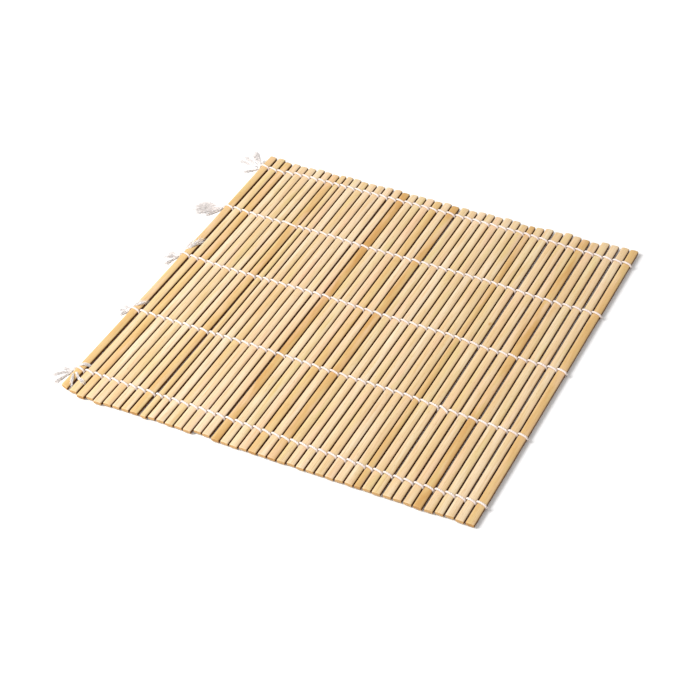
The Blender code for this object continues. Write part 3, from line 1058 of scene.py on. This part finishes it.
width = add(
    fray_tree, "ShaderNodeMath", {0: opening, 1: spread, 2: size["Root"]}, operation="MULTIPLY_ADD"
)
fan = add(fray_tree, "ShaderNodeVectorMath", {0: toss, "Scale": width}, operation="SCALE")
fanned = add(fray_tree, "ShaderNodeVectorMath", {0: fan, 1: (1.0, 1.0, 0.25)}, operation="MULTIPLY")
own_place = add(fray_tree, "ShaderNodeVectorMath", {0: toss, "Scale": 23.0}, operation="SCALE")
wave_scale = add(fray_tree, "ShaderNodeMath", {0: 1.0, 1: size["Wave Length"]}, operation="DIVIDE")
wave_at = add(
    fray_tree,
    "ShaderNodeVectorMath",
    {0: add(fray_tree, "GeometryNodeInputPosition"), "Scale": wave_scale},
    operation="SCALE",
)
shifted = add(fray_tree, "ShaderNodeVectorMath", {0: wave_at, 1: own_place}, operation="ADD")
noise = add(fray_tree, "ShaderNodeTexNoise", {"Vector": shifted, "Scale": 1.0, "Detail": 1.0}).outputs["Color"]
centred = add(fray_tree, "ShaderNodeVectorMath", {0: noise, 1: (0.5, 0.5, 0.42)}, operation="SUBTRACT")
strength = add(fray_tree, "ShaderNodeMath", {0: part, 1: size["Wave"]}, operation="MULTIPLY")
doubled = add(fray_tree, "ShaderNodeMath", {0: strength, 1: 4.0}, operation="MULTIPLY")
waves = add(fray_tree, "ShaderNodeVectorMath", {0: centred, "Scale": doubled}, operation="SCALE")
moved = add(fray_tree, "ShaderNodeVectorMath", {0: fanned, 1: waves}, operation="ADD")
loose = add(
    fray_tree, "GeometryNodeSetPosition", {"Geometry": many.outputs["Geometry"], "Offset": moved}
)
cut = add(
    fray_tree,
    "FunctionNodeRandomValue",
    {2: size["Shortest"], 3: 1.0, "ID": add(fray_tree, "GeometryNodeInputIndex"), "Seed": 17},
    data_type="FLOAT",
).outputs[1]
trimmed = add(
    fray_tree, "GeometryNodeTrimCurve", {"Curve": loose, "Start": 0.0, "End": cut}, mode="FACTOR"
)
few = add(
    fray_tree, "GeometryNodeResampleCurve", {"Curve": trimmed, "Count": size["Points"]}, mode="COUNT"
)
taper = add(fray_tree, "ShaderNodeMath", {0: part, 1: -0.5, 2: 1.0}, operation="MULTIPLY_ADD")
thread = add(
    fray_tree, "GeometryNodeCurvePrimitiveCircle", {"Resolution": 3, "Radius": size["Fibre Radius"]}
)
swept = add(
    fray_tree,
    "GeometryNodeCurveToMesh",
    {"Curve": few, "Profile Curve": thread.outputs["Curve"], "Scale": taper, "Fill Caps": True},
)
settled = add(
    fray_tree,
    "ShaderNodeVectorMath",
    {0: add(fray_tree, "GeometryNodeInputPosition"), 1: (-1.0, -1.0, 0.0)},
    operation="MAXIMUM",
)
placed = add(fray_tree, "GeometryNodeSetPosition", {"Geometry": swept, "Position": settled})
smooth = add(fray_tree, "GeometryNodeSetShadeSmooth", {"Geometry": placed, "Shade Smooth": True})
real = add(fray_tree, "GeometryNodeRealizeInstances", {"Geometry": smooth})
dressed = add(fray_tree, "GeometryNodeSetMaterial", {"Geometry": real, "Material": size["Material"]})
add(fray_tree, "NodeGroupOutput", {0: dressed})
print("the fray tree has", len(fray_tree.nodes), "nodes")

# %% [markdown]
# ## Where the locks lie
#
# The table holds one row for each lock: the row of string, its heading from the knot, how far it
# reaches, how much it bends on the way, how wide it opens, and whether it lies on the table or over
# the sticks. A lock over the sticks follows their arches.

# %% Make the knots and tufts
Lock = namedtuple("Lock", "row heading reach bend opens over")
LOCKS = [
    Lock(1, 121, 20.5, 7, 1.2, False),
    Lock(1, 136, 17.0, -2, 1.2, False),
    Lock(1, 152, 19.0, 4, 1.5, False),
    Lock(1, 168, 18.0, 6, 1.6, False),
    Lock(1, 106, 9.5, -8, 1.0, False),
    Lock(1, 240, 12.5, -16, 1.1, False),
    Lock(2, 181, 16.0, -6, 2.0, False),
    Lock(2, 190, 19.0, 0, 2.2, False),
    Lock(2, 200, 21.0, 3, 2.2, False),
    Lock(2, 212, 20.5, 1, 2.0, False),
    Lock(2, 225, 18.5, -3, 1.5, False),
    Lock(2, 246, 14.5, -8, 1.0, False),
    Lock(3, 66, 18.5, 4, 2.2, True),
    Lock(3, 79, 17.0, 8, 2.2, True),
    Lock(3, 182, 9.5, -8, 1.5, False),
    Lock(3, 205, 10.0, 4, 1.8, False),
    Lock(3, 240, 12.5, 10, 1.2, False),
    Lock(4, 58, 9.5, -6, 1.9, True),
    Lock(4, 78, 8.5, 10, 1.9, True),
    Lock(4, 160, 6.5, -8, 1.5, False),
    Lock(4, 190, 7.0, 4, 1.5, False),
    Lock(4, 228, 6.5, 8, 1.1, False),
    Lock(5, 303, 17.5, -8, 0.5, True),
    Lock(5, 318, 15.5, 6, 0.5, True),
    Lock(5, 50, 9.0, -18, 1.0, True),
    Lock(5, 192, 8.5, -6, 1.2, False),
    Lock(5, 218, 13.0, 4, 1.4, False),
    Lock(5, 246, 15.5, 6, 1.1, False),
]
LOCK_POINTS = 9
LOCK_LIFT = 0.3 * MM
LOCK_ON_TABLE = 0.22 * MM
LOCK_BESIDE = 0.6 * MM
LOCK_BRIDGES = 1.25
LOCK_SINKS_LEAST = 0.12


def top_of_mat(x, y):
    """Height of the sticks under a lock. Between two sticks a lock doesn't sink in."""
    best = 0.0
    for stick in sticks:
        away = abs(x - stick_x(stick, y)) / (stick.width / 2)
        if away < LOCK_BRIDGES:
            arch = math.sqrt(max(1 - away * away, LOCK_SINKS_LEAST))
            best = max(best, stick.under + CORNER + (STICK_THICK - CORNER) * arch)
    return best


def lock_guide(lock):
    knot = knot_middle(lock.row)
    line = []
    for number in range(LOCK_POINTS):
        part = number / (LOCK_POINTS - 1)
        heading = math.radians(lock.heading + lock.bend * part)
        beside = 0.0
        if lock.over:
            beside = math.copysign(LOCK_BESIDE, math.sin(math.radians(lock.heading))) * min(1, 3 * part)
        x = knot.x + math.cos(heading) * lock.reach * MM * part
        y = knot.y + math.sin(heading) * lock.reach * MM * part + beside
        rest = top_of_mat(x, y) + LOCK_LIFT if lock.over else LOCK_ON_TABLE
        settle = min(1.0, part * (2.5 if lock.over else 3.0))
        line.append((x, y, max(rest, 0.0) if settle >= 1 else knot.z + (rest - knot.z) * settle))
    return line


for row in rows:
    locks = [lock for lock in LOCKS if lock.row == row]
    lines = [lock_guide(lock) for lock in locks]
    spreads = [lock.opens * MM for lock in locks for _ in range(LOCK_POINTS)]
    guides = guide_mesh(f"lock_guides_{row}", lines, {"spread": spreads})
    tuft = make_piece(f"frayed_tuft_{row}", guides, fray_tree, cotton_fray, Seed=5 + row)
    knot = make_piece(
        f"knot_{row}", guide_mesh(f"knot_guide_{row}", [knot_path(row)], {}), string_tree, cotton_string
    )
    for piece in (tuft, knot):
        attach(piece, "root")
    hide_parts(f"tuft_{row}")
    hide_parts(f"tuft_{row}")

# %% [markdown]
# ## Table, light and camera
#
# The mat lies on a white table that is lit until it is pure white, as in a catalogue. One large
# soft light stands at the left and a little in front, so every stick is bright on its left edge and
# dark on its right one, and a thin shadow shows along the right side. A white surrounding fills
# the rest. The view transform is Standard, because the white table should really be white.

# %% The table
bpy.ops.mesh.primitive_plane_add(size=6.0, location=(0.0, 0.0, 0.0))
table = bpy.context.active_object
table.name = "table"
paper = bpy.data.materials.new("white_table")
paper.use_nodes = True
paper.node_tree.nodes.clear()
sheen = add(
    paper.node_tree, "ShaderNodeBsdfPrincipled", {"Base Color": linear("#f4f3f3"), "Roughness": 0.8}
)
add(paper.node_tree, "ShaderNodeOutputMaterial", {"Surface": sheen})
table.data.materials.append(paper)

# %% The lights
LIGHT_TARGET = Vector((0.0, 0.0, 0.0))


def soft_light(name, place, size, watts):
    lamp = bpy.data.lights.new(name, "AREA")
    lamp.shape = "SQUARE"
    lamp.size = size
    lamp.energy = watts
    holder = bpy.data.objects.new(name, lamp)
    holder.location = place
    holder.rotation_euler = (LIGHT_TARGET - Vector(place)).to_track_quat("-Z", "Y").to_euler()
    bpy.context.scene.collection.objects.link(holder)


soft_light("softbox_left", (-0.85, -0.45, 0.85), 0.72, 23.0)
world = bpy.data.worlds.new("white_room")
bpy.context.scene.world = world
world.use_nodes = True
world.node_tree.nodes["Background"].inputs["Color"].default_value = (1.0, 1.0, 1.0, 1.0)
world.node_tree.nodes["Background"].inputs["Strength"].default_value = 0.66
bpy.context.scene.view_settings.view_transform = "Standard"
bpy.context.scene.view_settings.look = "None"

# %% The camera
CAMERA_AT = Vector((0.35411, -0.65949, 0.61210))
CAMERA_RIGHT = Vector((0.89288, 0.44900, -0.03427))
CAMERA_UP = Vector((-0.26696, 0.58910, 0.76268))
CAMERA_BACK = Vector((0.36263, -0.67183, 0.64586))
camera_data = bpy.data.cameras.new("camera")
camera_data.lens = 90.0
camera_data.sensor_width = 36.0
camera = bpy.data.objects.new("camera", camera_data)
axes = Matrix((CAMERA_RIGHT, CAMERA_UP, CAMERA_BACK)).transposed().to_4x4()
camera.matrix_world = Matrix.Translation(CAMERA_AT) @ axes
bpy.context.scene.collection.objects.link(camera)
bpy.context.scene.camera = camera

# %% Finish
bpy.context.view_layer.update()
